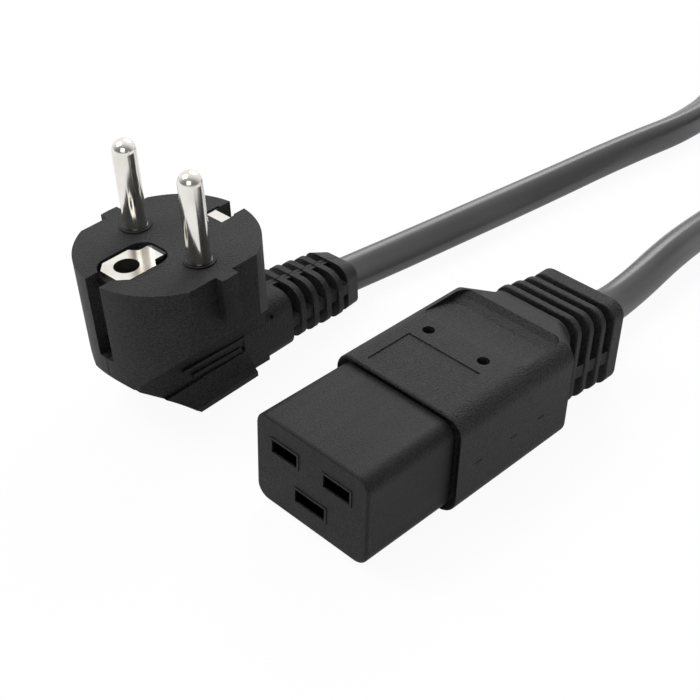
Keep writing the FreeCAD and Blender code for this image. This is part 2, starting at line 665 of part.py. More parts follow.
rectangle(tab, "tab_x", "tab_x + tab_thick", "0 - leg_half", "leg_half")
pad(strip, tab, "earth_crimp_foot - strip_top - strip_thick / 2")
crimp = sketch_on(strip, "XY_Plane", "0 - earth_crimp_foot")
circle(crimp, "earth_crimp_r", "earth_crimp_x")
pad(strip, crimp, "crimp_deep + 1")
socket_wall = sketch_on(strip, "XY_Plane", "0 - socket_deep")
circle(socket_wall, "socket_wall_r", "socket_x")
pad(strip, socket_wall, "socket_deep - strip_top")
socket_hole = sketch_on(strip, "XY_Plane")
circle(socket_hole, "socket_r", "socket_x")
pocket(strip, socket_hole, "socket_floor")


# Wires inside the plug

plug_cores, plug_wires = {}, {}
STARTS = {"line": (0.0, 1.0), "neutral": (0.0, -1.0), "earth": (size("earth_crimp_x"), 0.0)}
PLUG_ANGLES = {"line": 40.0, "neutral": 140.0, "earth": 270.0}
crimped = {"line": pins["line"], "neutral": pins["neutral"], "earth": strip}
for name, (x0, sign) in STARTS.items():
    y0 = sign * size("pin_side")
    foot = size("earth_crimp_foot") if name == "earth" else size("crimp_foot")
    angle = math.radians(PLUG_ANGLES[name])
    across, up = size("core_spread") * math.cos(angle), size("core_spread") * math.sin(angle)
    slope = size("exit_slope")
    route = [
        in_plug(x0, y0, size("crimp_deep") - foot - 0.5), in_plug(x0, y0, -foot - 1.8),
        in_plug(x0 + 7.0, 0.5 * y0, -foot - 7.5), in_plug(20.0, across, sheath_z + up + slope * 14.8),
        in_plug(sheath_x, across, sheath_z + up),
    ]
    plug_cores[name] = tube(f"plug_core_{name}", route, size("core_r"))
    sheath = tube(f"plug_sheath_{name}", route, size("wire_r"))
    ends = joined(f"plug_ends_{name}", [plug_cores[name], crimped[name]])
    plug_wires[name] = cut(f"plug_wire_{name}", sheath, ends)
    crimped[name] = cut(f"crimped_{name}", crimped[name], plug_cores[name])


# Insert that holds the pins and the strip

insert = make_body("insert_solid", PLUG)
block = sketch_on(insert, "XY_Plane", "0 - insert_deep")
rounded(block, "insert_half_x", "0 - insert_half_y", "insert_half_y", "insert_corner")
pad(insert, block, "insert_deep - insert_top")
plaque = sketch_on(insert, "XY_Plane", "0 - insert_top - 1")
rounded(
    plaque, "( plaque_right - plaque_left ) / 2", "0 - plaque_half", "plaque_half", "plaque_half - 0.8",
    "( plaque_right + plaque_left ) / 2",
)
pad(insert, plaque, "insert_top + 1")
bosses = sketch_on(insert, "XY_Plane", "0 - insert_top - 1")
circle(bosses, "boss_r", "0", "pin_side")
circle(bosses, "boss_r", "0", "0 - pin_side")
pad(insert, bosses, "insert_top + 1 + boss_proud")

recess = make_body("strip_recess", PLUG)
well = sketch_on(recess, "XY_Plane", "0 - recess_deep")
rounded(
    well, "( recess_right - recess_left ) / 2", "0 - recess_half", "recess_half", "recess_corner",
    "( recess_right + recess_left ) / 2",
)
pad(recess, well, "recess_deep + 1")
bore = sketch_on(recess, "XY_Plane", "0 - socket_floor")
circle(bore, "socket_r", "socket_x")
pad(recess, bore, "socket_floor")
window = make_body("strip_window", PLUG)
opening = sketch_on(window, "XY_Plane", "0 - strip_top")
rectangle(opening, "window_left", "notch_floor + 1", "0 - window_half", "window_half")
pad(window, opening, "strip_top + 1")


# Plug overmould

form = make_body("plug_form", PLUG)
face = sketch_on(form, "XY_Plane")
circle(face, "face_r")
column = pad(form, face, "plug_deep", reverse=True)
column.setExpression("TaperAngle", "Sizes.face_draft")

under = sketch_on(form, "YZ_Plane")
for sign in ("+", "-"):
    near, far = f"0 {sign} hip_root", f"0 {sign} ( face_r + 1 )"
    outline(under, [
        (near, "hip_base + hip_slope * hip_root"), (far, "hip_base + hip_slope * ( face_r + 1 )"),
        (far, "0 - plug_deep - 1"), (near, "0 - plug_deep - 1"),
    ])
pocket(form, under, "2 * face_r + 4", both=True)
bar = sketch_on(form, "XY_Plane", "0 - plug_deep")
outline(bar, [
    ("bar_left", "0 - bar_left_half"), ("bar_right", "0 - bar_right_half"),
    ("bar_right", "bar_right_half"), ("bar_left", "bar_left_half"),
])
pad(form, bar, "plug_deep + bar_top")
ramp = sketch_on(form, "XZ_Plane")
ramp_run = "( ramp_foot - ramp_x )"
ramp_slope = f"( ( 0 - plug_deep - ramp_z ) / {ramp_run} )"
outline(ramp, [
    ("0 - face_r - 1", f"ramp_z - ( face_r + 1 + ramp_x ) * {ramp_slope}"),
    ("ramp_foot", "0 - plug_deep"), ("ramp_foot", "0 - plug_deep - 1"),
    ("0 - face_r - 1", "0 - plug_deep - 1"),
])
pocket(form, ramp, "2 * face_r + 4", both=True)

lip = sketch_on(form, "YZ_Plane", "lip_left")
rectangle(lip, "0 - lip_half", "lip_half", "0 - plug_deep", "lip_top")
pad(form, lip, "lip_right - lip_left")
sweep = sketch_on(form, "YZ_Plane", "lip_left")
circle(sweep, "lip_sweep_r", "lip_sweep_y", "lip_top")
circle(sweep, "lip_sweep_r", "0 - lip_sweep_y", "lip_top")
pocket(form, sweep, "lip_right - lip_left", reverse=True)
neck = sketch_on(form, "YZ_Plane", "lip_right - 1")
rounded(neck, "plug_neck_half", "plug_neck_foot", "plug_neck_top", "plug_neck_corner")
pad(form, neck, "plug_neck_end - lip_right + 1")

# Raised ribs on the bar's sides: height at the left end, left end, right end
RIBS = [(-24.2, -6.0, 10.7), (-26.3, -3.9, 8.9), (-28.1, -1.75, 7.15)]
bar_widens = "( ( bar_right_half - bar_left_half ) / ( bar_right - bar_left ) )"
rib_bodies = []
for k, (z, left, right) in enumerate(RIBS):
    rib = make_body(f"rib_{k}", PLUG)
    face_of_rib = sketch_on(rib, "XZ_Plane")
    falls = f"rib_falls * ( {right} - ( {left} ) )"
    outline(face_of_rib, [
        (f"0 + {left}", f"{z} - rib_tall / 2"), (f"0 + {right}", f"{z} - {falls} - rib_tall / 2"),
        (f"0 + {right}", f"{z} - {falls} + rib_tall / 2"), (f"0 + {left}", f"{z} + rib_tall / 2"),
    ])
    reach = f"bar_left_half + {bar_widens} * ( ( {left} + {right} ) / 2 - bar_left ) + rib_proud"
    pad(rib, face_of_rib, f"2 * ( {reach} )", both=True)
    rib_bodies.append(rib)

PLUG_RINGS = 4
slim = form.newObject("PartDesign::AdditiveLoft", "plug_sleeve")
sleeve_near = sketch_on(form, "YZ_Plane", "plug_neck_end - 1")
sleeve_far = sketch_on(form, "YZ_Plane", "plug_relief_end - 0.5")
for section, run in ((sleeve_near, "( plug_relief_end - plug_neck_end + 1 )"), (sleeve_far, "0.5")):
    middle_z = f"plug_exit_z + exit_slope * {run}"
    rounded(
        section, "plug_sleeve_half", f"{middle_z} - plug_sleeve_half", f"{middle_z} + plug_sleeve_half",
        "plug_sleeve_half / 2",
    )
slim.Profile = sleeve_near
slim.Sections = [sleeve_far]
slim.Ruled = True

for k in range(PLUG_RINGS):
    start = f"plug_ring_start + {k} * plug_ring_pitch"
    gone = f"( {start} - plug_neck_end )"
    ring_section = sketch_on(form, "YZ_Plane", start)
    rounded(
        ring_section, f"plug_ring_half - plug_narrows * {gone}",
        f"plug_neck_foot - plug_foot_falls * {gone}", f"plug_ring_top - plug_top_falls * {gone}",
        "plug_ring_corner",
    )
    pad(form, ring_section, "plug_ring_thick")
end_loft = form.newObject("PartDesign::AdditiveLoft", "plug_end_loft")
block_near = sketch_on(form, "YZ_Plane", "plug_end_block")
rounded(block_near, "plug_block_half", "plug_block_foot", "plug_block_top", "plug_block_corner")
block_far = sketch_on(form, "YZ_Plane", "plug_relief_end")
rounded(block_far, "plug_end_half", "plug_end_foot", "plug_end_top", "plug_end_corner")
end_loft.Profile = block_near
end_loft.Sections = [block_far]
end_loft.Ruled = True
side_web = sketch_on(form, "YZ_Plane", "plug_neck_end - 1")
web_side = "( plug_ring_half - plug_web_back )"
rectangle(side_web, f"0 - {web_side}", web_side, "plug_web_foot", "plug_web_top")
pad(form, side_web, "plug_end_block - plug_neck_end + 1")
top_web = sketch_on(form, "XZ_Plane")
web_run = "( plug_end_block - plug_neck_end )"
outline(top_web, [
    ("plug_neck_end - 1", "plug_ring_top - 0.2"),
    ("plug_end_block", f"plug_ring_top - plug_top_falls * {web_run} - 0.2"),
    ("plug_end_block", "plug_exit_z"), ("plug_neck_end - 1", "plug_exit_z"),
])
pad(form, top_web, "2 * top_web_half", both=True)

flats = sketch_on(form, "XY_Plane")
for sign in ("+", "-"):
    low, high = f"0 {sign} flat_y", f"0 {sign} ( face_r + 1 )"
    rectangle(flats, "0 - flat_half", "0 - tab_half", low, high)
    rectangle(flats, "tab_half", "flat_half", low, high)
pocket(form, flats, "flat_deep")
under_tabs = sketch_on(form, "XY_Plane", "0 - tab_deep")
for sign in ("+", "-"):
    low, high = f"0 {sign} flat_y", f"0 {sign} ( face_r + 1 )"
    rectangle(under_tabs, "0 - tab_half - 0.01", "tab_half + 0.01", low, high)
pocket(form, under_tabs, "flat_deep - tab_deep")
notches = sketch_on(form, "XY_Plane")
for sign in ("+", "-"):
    low, high = f"0 {sign} notch_floor", f"0 {sign} ( face_r + 1 )"
    rectangle(notches, low, high, "0 - notch_half", "notch_half")
pocket(form, notches, "notch_deep")

# Small pits that the mould's cores left in both sides: along, height
SIDE_PITS = [(17.9, -23.8), (9.5, -27.1)]
pit_bodies = []
for k, (x, z) in enumerate(SIDE_PITS):
    for sign in ("+", "-"):
        dimple = make_body(f"side_pit_{k}_{'left' if sign == '+' else 'right'}", PLUG)
        spot = sketch_on(dimple, "XZ_Plane", f"0 - ( 0 {sign} ( plug_neck_half - side_pit_deep / 2 ) )")
        circle(spot, "side_pit_r", f"0 + {x}", f"0 + {z}")
        pad(dimple, spot, "side_pit_deep + 1", both=True)
        pit_bodies.append(dimple)

whole = joined("plug_whole", [form] + rib_bodies)
inner = [insert, recess, window, cable_plug] + pit_bodies + [crimped[name] for name in STARTS]
inner += [plug_wires[name] for name in STARTS] + [plug_cores[name] for name in STARTS]
plug_body = cut("plug_body", whole, joined("plug_inner", inner))
held = [recess] + [crimped[name] for name in STARTS]
held += [plug_wires[name] for name in STARTS] + [plug_cores[name] for name in STARTS]
plug_bridge = cut("plug_bridge", insert, joined("insert_held", held))

doc.recompute()

NODES = {
    "plug_body": plug_body, "plug_bridge": plug_bridge,
    "pin_line": crimped["line"], "pin_neutral": crimped["neutral"], "earth_strip": crimped["earth"],
    "connector_body": connector_body, "connector_nose": connector_nose,
    "cable_plug": cable_plug, "cable_socket": cable_socket, "cable_coil": cable_coil,
    "coil_tie": coil_tie,
}
for name in SLOTS:
    NODES[f"contact_{name}"] = contacts[name]
    NODES[f"socket_core_{name}"] = socket_cores[name]
    NODES[f"socket_wire_{name}"] = socket_wires[name]
    NODES[f"plug_core_{name}"] = plug_cores[name]
    NODES[f"plug_wire_{name}"] = plug_wires[name]

for item in doc.Objects:
    if "Invalid" in item.State or "Error" in item.State:
        raise SystemExit(f"{item.Name} failed: {item.State}")

os.makedirs("parts", exist_ok=True)
for label, item in NODES.items():
    shape = item.Shape
    solids = len(shape.Solids)
    if shape.isNull() or not shape.isValid() or solids != 1:
        raise SystemExit(f"{label} is not one valid solid: {solids}")
    item.Label = label
    shape.exportStep(f"parts/{label}.step")
    print(f"{label:22s} {shape.Volume:10.1f} mm3  {shape.BoundBox}")

for name, length, tightest, ratio in radii:
    print(f"{name:22s} length {length:8.2f}  tightest radius {tightest:7.2f}  volume ratio {ratio:.5f}")
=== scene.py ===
"""Looks of the power cord: camera, light, cable, moulded plastic and bright metal.

Lengths are in metres in the row frame: +Z up, +X along the connector towards its cable, z = 0 the table.
"""
import json
import math

import bmesh
import bpy
from mathutils import Matrix, Vector


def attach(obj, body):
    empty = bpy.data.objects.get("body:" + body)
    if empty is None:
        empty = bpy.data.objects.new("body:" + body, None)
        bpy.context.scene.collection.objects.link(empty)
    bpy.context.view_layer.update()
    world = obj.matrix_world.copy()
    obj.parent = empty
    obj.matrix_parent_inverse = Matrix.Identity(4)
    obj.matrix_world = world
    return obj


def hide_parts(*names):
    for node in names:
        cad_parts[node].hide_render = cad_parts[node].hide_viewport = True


MM = 0.001
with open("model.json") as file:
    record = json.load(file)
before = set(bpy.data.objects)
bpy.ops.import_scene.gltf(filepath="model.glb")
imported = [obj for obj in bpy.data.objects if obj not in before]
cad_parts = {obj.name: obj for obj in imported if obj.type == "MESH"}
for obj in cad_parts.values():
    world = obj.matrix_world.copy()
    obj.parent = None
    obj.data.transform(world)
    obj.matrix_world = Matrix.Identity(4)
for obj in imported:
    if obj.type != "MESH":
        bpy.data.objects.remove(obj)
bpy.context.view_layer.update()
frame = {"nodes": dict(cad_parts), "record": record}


# Shader kit: a socket with the usual operators, and a tree that makes nodes

class Wire:
    """An output socket, or a plain number, that can be used in an expression."""

    def __init__(self, tree, value):
        self.tree, self.value = tree, value

    def join(self, kind, *others):
        values = [other.value if isinstance(other, Wire) else other for other in others]
        return self.tree.node("ShaderNodeMath", {"operation": kind}, {k: v for k, v in enumerate(values)})

    def __add__(self, other):
        return self.join("ADD", self, other)

    def __radd__(self, other):
        return self.join("ADD", other, self)

    def __sub__(self, other):
        return self.join("SUBTRACT", self, other)

    def __rsub__(self, other):
        return self.join("SUBTRACT", other, self)

    def __mul__(self, other):
        return self.join("MULTIPLY", self, other)

    def __rmul__(self, other):
        return self.join("MULTIPLY", other, self)

    def __truediv__(self, other):
        return self.join("DIVIDE", self, other)

    def sine(self):
        return self.join("SINE", self)

    def cosine(self):
        return self.join("COSINE", self)

    def size(self):
        return self.join("ABSOLUTE", self)

    def below(self, other):
        return self.join("LESS_THAN", self, other)

    def smooth(self, low, high):
        """0 below low and 1 above high, with a soft step between."""
        return self.tree.node(
            "ShaderNodeMapRange", {"interpolation_type": "SMOOTHSTEP"},
            {"Value": self.value, "From Min": low, "From Max": high},
        )


class Graph:
    """Nodes of a material, a world or a geometry recipe."""

    def __init__(self, node_tree):
        self.nodes, self.links = node_tree.nodes, node_tree.links
        self.nodes.clear()

    def node(self, kind, settings=None, sockets=None, output=0):
        made = self.nodes.new(kind)
        for name, value in (settings or {}).items():
            setattr(made, name, value)
        for name, value in (sockets or {}).items():
            value = value.value if isinstance(value, Wire) else value
            if isinstance(value, bpy.types.NodeSocket):
                self.links.new(value, made.inputs[name])
            else:
                made.inputs[name].default_value = value
        return Wire(self, made.outputs[output]) if made.outputs else None

    def parts(self, vector):
        """The three numbers of a vector."""
        split = self.node("ShaderNodeSeparateXYZ", {}, {0: vector}).value.node
        return [Wire(self, split.outputs[k]) for k in range(3)]

    def vector(self, x, y, z):
        return self.node("ShaderNodeCombineXYZ", {}, {0: x, 1: y, 2: z})


BLACK = (0, 0, 0, 1)


class Tree(Graph):
    """A material's nodes."""

    def __init__(self, name):
        self.material = bpy.data.materials.new(name)
        self.material.use_nodes = True
        super().__init__(self.material.node_tree)

    def place(self):
        """Object coordinates of the surface, in metres."""
        return self.node("ShaderNodeTexCoord", output=3)

    def axes(self):
        return self.parts(self.place())

    def noise(self, scale, detail, rough, where=None):
        return self.node(
            "ShaderNodeTexNoise", {"noise_dimensions": "3D"},
            {"Vector": where or self.place(), "Scale": scale, "Detail": detail, "Roughness": rough},
        )

    def cells(self, scale):
        """Distance to the nearest of many scattered points."""
        return self.node("ShaderNodeTexVoronoi", {}, {"Vector": self.place(), "Scale": scale})

    def blend(self, factor, first, second):
        """The first colour where the factor is 0 and the second where it is 1."""
        return self.node(
            "ShaderNodeMix", {"data_type": "RGBA"}, {0: factor, 6: first, 7: second}, output=2
        )

    def bump(self, height, distance, under=None):
        sockets = {"Height": height, "Distance": distance, "Strength": 1.0}
        if under:
            sockets["Normal"] = under
        return self.node("ShaderNodeBump", {}, sockets)

    def finish(self, painted_shade=None, **sockets):
        """Joins the surface shader to the output. Sockets are named with spaces as underscores.

        Where the shade mask given first is 1, the surface is painted shade: a black that shines back no
        light.
        """
        named = {name.replace("_", " "): value for name, value in sockets.items()}
        shader = self.node("ShaderNodeBsdfPrincipled", {}, named)
        if painted_shade:
            black = self.node("ShaderNodeBsdfDiffuse", {}, {"Color": BLACK})
            shader = self.node("ShaderNodeMixShader", {}, {0: painted_shade, 1: shader, 2: black})
        self.node("ShaderNodeOutputMaterial", {}, {0: shader})
        return self.material


class Recipe(Graph):
    """A geometry tree with named inputs. It is run once, and its result is kept as a plain mesh."""

    SOCKETS = {
        float: "NodeSocketFloat", int: "NodeSocketInt", tuple: "NodeSocketVector",
        bpy.types.Material: "NodeSocketMaterial",
    }

    def __init__(self, name, values):
        self.group, self.values = bpy.data.node_groups.new(name, "GeometryNodeTree"), values
        super().__init__(self.group)
        face = self.group.interface
        face.new_socket("Geometry", in_out="INPUT", socket_type="NodeSocketGeometry")
        face.new_socket("Geometry", in_out="OUTPUT", socket_type="NodeSocketGeometry")
        for label, value in values.items():
            face.new_socket(label, in_out="INPUT", socket_type=self.SOCKETS[type(value)])
        self.given = self.nodes.new("NodeGroupInput")

    def input(self, label):
        return Wire(self, self.given.outputs[label])

    def run(self, item, geometry, material):
        """Ends the tree, runs it on an object and gives back a plain mesh."""
        real = self.node("GeometryNodeRealizeInstances", {}, {0: geometry})
        done = self.node("GeometryNodeSetMaterial", {}, {"Geometry": real, "Material": material})
        self.node("NodeGroupOutput", {}, {"Geometry": done})
        modifier = item.modifiers.new(self.group.name, "NODES")
        modifier.node_group = self.group
        for socket in self.group.interface.items_tree:
            if socket.in_out == "INPUT" and socket.name in self.values:
                modifier[socket.identifier] = self.values[socket.name]
        bpy.context.view_layer.update()
        depsgraph = bpy.context.evaluated_depsgraph_get()
        mesh = bpy.data.meshes.new_from_object(item.evaluated_get(depsgraph), depsgraph=depsgraph)
        item.modifiers.remove(modifier)
        return mesh


# Where the ends lie, in millimetres in the row frame

CONNECTOR_PLACE = Vector((-34.77, -26.69, 0.0))
PLUG_PLACE = Vector((-23.86, 23.93, 34.60))
PLUG_TURNS = (("Z", 0.63), ("Y", -2.98), ("X", -2.33))
plug_turn = Matrix.Identity(3)
for letter, degrees in PLUG_TURNS:
    plug_turn = plug_turn @ Matrix.Rotation(math.radians(degrees), 3, letter)


def measured_along(axes, origin, direction):
    """How far a point lies from an origin along a direction, in millimetres."""
    x, y, z = axes
    start = origin.dot(direction)
    return x * (direction.x / MM) + y * (direction.y / MM) + z * (direction.z / MM) - start


# Materials

# Noise patterns: how many cells in a metre, the layers of finer detail, and how strong those are
MOULD_SLOW = (70.0, 2.0, 0.5)
MOULD_PITS = (2700.0, 2.0, 0.60)
NOSE_SLOW = (60.0, 3.0, 0.5)
NOSE_FINE = (2800.0, 2.0, 0.6)
CABLE_SLOW = (45.0, 2.0, 0.5)
CABLE_FINE = (3400.0, 2.0, 0.5)
PLATING_SLOW = (200.0, 2.0, 0.5)
STRAND_SLOW = (300.0, 2.0, 0.5)
WIRE_SLOW = (160.0, 2.0, 0.5)
WIRE_FINE = (2500.0, 2.0, 0.5)
STRAP_FUZZ = (4000.0, 3.0, 0.5)
# The same for patterns that are stretched first, so their cells are counted by the stretch
STRETCHED = (1.0, 3.0, 0.5)
STRETCHED_SOFT = (1.0, 2.0, 0.5)
MOULD_SPECKS = 3300.0

SPECK_EDGES = (0.10, 0.80)
TONE_EDGES = (0.34, 0.66)
PITS_SHARE, PITS_TONE = 0.7, 0.75
PLASTIC_DARK = (0.0012, 0.0012, 0.0014, 1.0)
PLASTIC_LIGHT = (0.0260, 0.0260, 0.0268, 1.0)
GRAIN_DEEP = 0.230 * MM
MARKS_X = (27.9, 38.1, 46.3)
MARKS_Z = 10.35
MARK_HALF_LONG = 0.95
MARK_HALF_TALL = 0.16
# How far the marks' grooves are painted towards a black that shines back no light, as painted shade
MARK_PAINTED_SHADE = 0.75
MARK_DEEP = 0.10 * MM
GRIP_SIDE = 15.2
PARTING_EDGES = (0.045, 0.135)
PARTING_TOP = -17.4


def wandering(middle, *parts):
    """A value that moves about its middle with each pattern, by that pattern's own span."""
    value = middle
    for pattern, span in parts:
        value = value + (pattern - 0.5) * span
    return value


def mould_marks(axes):
    """Short flash marks in a row along each side of the connector's grip: shallow grooves that are painted
    dark as shade.
    """
    x = measured_along(axes, CONNECTOR_PLACE, Vector((1, 0, 0)))
    y = measured_along(axes, CONNECTOR_PLACE, Vector((0, 1, 0)))
    z = measured_along(axes, CONNECTOR_PLACE, Vector((0, 0, 1)))
    row = (z - MARKS_Z).size().below(MARK_HALF_TALL) * (1 - y.size().below(GRIP_SIDE))
    marks = [(x - place).size().below(MARK_HALF_LONG) for place in MARKS_X]
    return row * (marks[0] + marks[1] + marks[2])


def parting_line(axes):
    """The line that the mould's halves leave round the plug, below its notches: a fine groove painted dark
    as shade.
    """
    y = measured_along(axes, PLUG_PLACE, plug_turn @ Vector((0, 1, 0)))
    z = measured_along(axes, PLUG_PLACE, plug_turn @ Vector((0, 0, 1)))
    return (1 - y.size().smooth(*PARTING_EDGES)) * z.below(PARTING_TOP)


def moulded_plastic(name, marks):
    """Black plastic from a spark-eroded mould: fine pits, and a slow change of sheen."""
    tree = Tree(name)
    slow = tree.noise(*MOULD_SLOW)
    pits = tree.noise(*MOULD_PITS)
    specks = tree.cells(MOULD_SPECKS).smooth(*SPECK_EDGES)
    grain = pits * PITS_SHARE + specks * (1 - PITS_SHARE)
    line = marks(tree.axes())
    # The marks are grooves: their tone is pushed to the darkest, and the finish mixes in an unlit black
    # there, as painted shade.
    tone = (pits * PITS_TONE + slow * (1 - PITS_TONE)).smooth(*TONE_EDGES) * (1 - line)
    return tree.finish(
        painted_shade=line * MARK_PAINTED_SHADE, Base_Color=tree.blend(tone, PLASTIC_DARK, PLASTIC_LIGHT),
        Roughness=wandering(0.54, (slow, 0.14), (pits, 0.30)), Specular_IOR_Level=0.24,
        Normal=tree.bump(1 - line, MARK_DEEP, under=tree.bump(grain, GRAIN_DEEP)),
    )


FLOW = (40.0, 400.0, 400.0)
AXIS_Z = 11.264
CHAMBERS_WIDE, CHAMBERS_TALL, CHAMBERS_START = 11.0, 7.5, 0.25
NOSE_DARK, NOSE_LIGHT = (0.0030, 0.0030, 0.0032, 1), (0.0170, 0.0170, 0.0178, 1)
NOSE_FINE_TONE = 0.6
NOSE_DEEP = 0.080 * MM


def chamber_painted_shade(axes):
    """The walls behind the slots, painted black as the shade where no light comes."""
    x = measured_along(axes, CONNECTOR_PLACE, Vector((1, 0, 0)))
    y = measured_along(axes, CONNECTOR_PLACE, Vector((0, 1, 0)))
    z = measured_along(axes, CONNECTOR_PLACE, Vector((0, 0, 1))) - AXIS_Z
    return y.size().below(CHAMBERS_WIDE) * z.size().below(CHAMBERS_TALL) * (1 - x.below(CHAMBERS_START))


def smooth_plastic(name):
    """Harder plastic with a finer grain, faint flow marks and handling marks."""
    tree = Tree(name)
    slow = tree.noise(*NOSE_SLOW)
    fine = tree.noise(*NOSE_FINE)
    along_flow = tree.vector(*[axis * pull for axis, pull in zip(tree.axes(), FLOW)])
    smears = tree.noise(*STRETCHED_SOFT, where=along_flow)
    tone = (slow * (1 - NOSE_FINE_TONE) + fine * NOSE_FINE_TONE).smooth(*TONE_EDGES)
    # The walls behind the slots are painted shade: a black that shines back no light.
    return tree.finish(
        painted_shade=chamber_painted_shade(tree.axes()), Base_Color=tree.blend(tone, NOSE_DARK, NOSE_LIGHT),
        Roughness=wandering(0.54, (slow, 0.16), (smears, 0.10)), Specular_IOR_Level=0.22,
        Normal=tree.bump(fine, NOSE_DEEP),
    )


SHEATH_DARK, SHEATH_LIGHT = (0.0500, 0.0500, 0.0510, 1), (0.0680, 0.0680, 0.0695, 1)
LINES_AROUND, LINES_ALONG = 9.0, 20.0
LINES_SHARE = 0.6
SHEATH_DEEP = 0.014 * MM
SOFT_EDGES = (0.3, 0.7)


def cable_sheath():
    """Semi-gloss sheath: faint lines drawn along it by the die, and dull smears."""
    tree = Tree("cable_sheath")
    around = tree.node("ShaderNodeAttribute", {"attribute_name": "around"}, output=1)
    along = tree.node("ShaderNodeAttribute", {"attribute_name": "along"}, output=2)
    across, up, _ = tree.parts(around)
    drawn = tree.vector(across * LINES_AROUND, up * LINES_AROUND, along * LINES_ALONG)
    lines = tree.noise(*STRETCHED, where=drawn)
    slow = tree.noise(*CABLE_SLOW)
    fine = tree.noise(*CABLE_FINE)
    return tree.finish(
        Base_Color=tree.blend(slow.smooth(*SOFT_EDGES), SHEATH_DARK, SHEATH_LIGHT),
        Roughness=wandering(0.32, (slow, 0.12), (lines, 0.14)), Specular_IOR_Level=0.60,
        Normal=tree.bump(lines * LINES_SHARE + fine * (1 - LINES_SHARE), SHEATH_DEEP),
    )


# How far up and across each pin's foot is painted as shade
SEAT_TOP, SEAT_HALF = 0.42, 3.0
SCRATCHES_ACROSS, SCRATCHES_UP = 7000.0, 260.0
SCRATCH_DEEP = 0.004 * MM
WORN_EDGES = (0.30, 0.75)


def pin_foot_painted_shade(axes):
    """The foot of each pin, where it comes out of its boss: painted shade, dark plastic colour instead of
    metal.
    """
    x = measured_along(axes, PLUG_PLACE, plug_turn @ Vector((1, 0, 0)))
    z = measured_along(axes, PLUG_PLACE, plug_turn @ Vector((0, 0, 1)))
    return z.below(SEAT_TOP) * (1 - z.below(-SEAT_TOP)) * x.size().below(SEAT_HALF)


def bright_metal(name, colour, worn, roughness):
    """Plated metal with fine scratches and dull patches."""
    tree = Tree(name)
    x, y, z = tree.axes()
    upright = tree.vector(x * SCRATCHES_ACROSS, y * SCRATCHES_ACROSS, z * SCRATCHES_UP)
    scratches = tree.noise(*STRETCHED, where=upright)
    slow = tree.noise(*PLATING_SLOW)
    # At each pin's foot the metal is swapped for the dark plastic colour, as painted shade.
    seat = pin_foot_painted_shade((x, y, z))
    plating = tree.blend(slow.smooth(*WORN_EDGES), colour, worn)
    return tree.finish(
        Base_Color=tree.blend(seat, plating, PLASTIC_DARK), Metallic=1 - seat,
        Roughness=wandering(roughness, (scratches, 0.10), (slow, 0.08)),
        Normal=tree.bump(scratches, SCRATCH_DEEP),
    )


COPPER_BRIGHT, COPPER_DULL = (0.80, 0.42, 0.26, 1), (0.62, 0.28, 0.15, 1)
TWIST = (900.0, 5200.0)
TWIST_DEEP = 0.05 * MM


def copper_strands():
    """Fine strands laid at a slant round each core."""
    tree = Tree("copper_strands")
    x, y, z = tree.axes()
    twist = (x * TWIST[0] + y * TWIST[1] + z * TWIST[1]).sine()
    slow = tree.noise(*STRAND_SLOW)
    return tree.finish(
        Base_Color=tree.blend(slow, COPPER_BRIGHT, COPPER_DULL), Metallic=1.0,
        Roughness=wandering(0.32, (slow, 0.2)), Normal=tree.bump(twist, TWIST_DEEP),
    )


DULLED = 0.82
STRIPE = (500.0, 900.0)
STRIPE_EDGES = (-0.1, 0.1)
WIRE_DEEP = 0.01 * MM


def wire_sheath(name, colour, stripe=None):
    """A core's coloured sheath, with a slanting stripe on the earth wire."""
    tree = Tree(name)
    x, y, z = tree.axes()
    slow = tree.noise(*WIRE_SLOW)
    dull = [channel * DULLED for channel in colour[:3]] + [1.0]
    base = tree.blend(slow.smooth(*SOFT_EDGES), colour, dull)
    if stripe:
        band = (x * STRIPE[0] + y * STRIPE[1] + z * STRIPE[1]).sine().smooth(*STRIPE_EDGES)
        base = tree.blend(band, base, stripe)
    return tree.finish(
        Base_Color=base, Roughness=wandering(0.42, (slow, 0.12)),
        Normal=tree.bump(tree.noise(*WIRE_FINE), WIRE_DEEP),
    )


STRAP_DARK, STRAP_LIGHT = (0.010, 0.010, 0.011, 1), (0.030, 0.030, 0.032, 1)
THREADS = 6000.0
WEAVE_SHARE, UPRIGHT_SHARE = 0.3, 0.5
WEAVE_DEEP = 0.10 * MM


def woven_strap():
    """Dull threads over and under, with fuzz."""
    tree = Tree("woven_strap")
    x, y, z = tree.axes()
    weave = (x * THREADS).sine() * (y * THREADS).sine() + (z * THREADS).sine() * UPRIGHT_SHARE
    fuzz = tree.noise(*STRAP_FUZZ)
    return tree.finish(
        Base_Color=tree.blend(fuzz, STRAP_DARK, STRAP_LIGHT),
        Roughness=wandering(0.85, (fuzz, 0.1)), Normal=tree.bump(weave * WEAVE_SHARE + fuzz, WEAVE_DEEP),
    )


